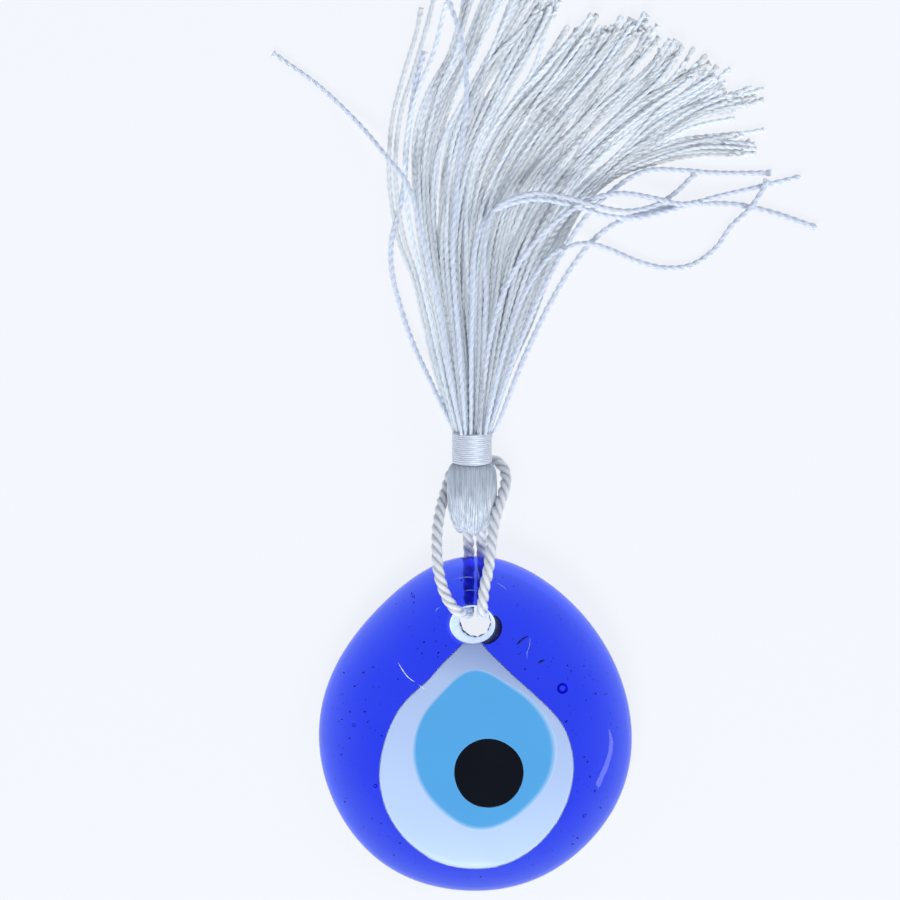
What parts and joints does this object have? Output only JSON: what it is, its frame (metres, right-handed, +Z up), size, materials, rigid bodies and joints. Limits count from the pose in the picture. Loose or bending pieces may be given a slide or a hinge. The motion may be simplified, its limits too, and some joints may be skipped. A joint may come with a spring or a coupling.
{
  "type": "evil eye ornament",
  "caption": "Flat glass drop with a layered glass eye, hung by a twisted cord from a thread tassel with a bound neck and a fanned skirt.",
  "frame": {"origin": "middle of the drop and tassel's footprint, on the table they lie on", "axes": "+Z up from the table, +Y from the glass drop towards the tassel's skirt, +X to the right seen from above"},
  "size_m": [0.0874, 0.1424, 0.0103],
  "materials": {
    "cobalt_glass": "glossy, transparent, with small bubbles",
    "white_glass": "glossy, opaque",
    "light_blue_glass": "glossy, opaque",
    "black_glass": "glossy, opaque",
    "cord_silk": "silky twisted cord",
    "thread_silk": "silky two-ply thread"
  },
  "bodies": {
    "glass_drop": {"blue_glass": "cobalt_glass", "white_glass": "white_glass", "light_blue_glass": "light_blue_glass", "pupil_glass": "black_glass"},
    "hitch": {"hanging_cord": "cord_silk"},
    "tassel": {"tassel_head": "thread_silk", "neck_binding": "thread_silk", "cord_knot": "cord_silk"},
    "skirt": {"skirt_bunch_1": "thread_silk", "skirt_bunch_2": "thread_silk", "skirt_bunch_3": "thread_silk", "skirt_bunch_4": "thread_silk", "skirt_bunch_5": "thread_silk", "skirt_bunch_6": "thread_silk", "stray_left_long": "thread_silk", "stray_left_bow": "thread_silk", "stray_right_short": "thread_silk", "stray_right_long": "thread_silk", "stray_right_low": "thread_silk", "stray_right_loop": "thread_silk"}
  },
  "joints": [
    {"name": "hitch_swing", "type": "hinge", "parent": "glass_drop", "child": "hitch", "pos_m": [-0.011, -0.0284, 0.0048], "axis": [0, 0, 1], "range_deg": [-12, 12]},
    {"name": "tassel_lift", "type": "hinge", "parent": "hitch", "child": "tassel", "pos_m": [-0.011, -0.0155, 0.00479], "axis": [1, 0, 0], "range_deg": [0, 60], "deforming": ["hanging_cord"]},
    {"name": "skirt_sway", "type": "hinge", "parent": "tassel", "child": "skirt", "pos_m": [-0.0113, 0.0023, 0.0058], "axis": [0, 0, 1], "range_deg": [-25, 25], "deforming": ["skirt_bunch_1", "skirt_bunch_2", "skirt_bunch_3", "skirt_bunch_4", "skirt_bunch_5", "skirt_bunch_6", "stray_left_long", "stray_left_bow", "stray_right_short", "stray_right_long", "stray_right_low", "stray_right_loop"]}
  ]
}
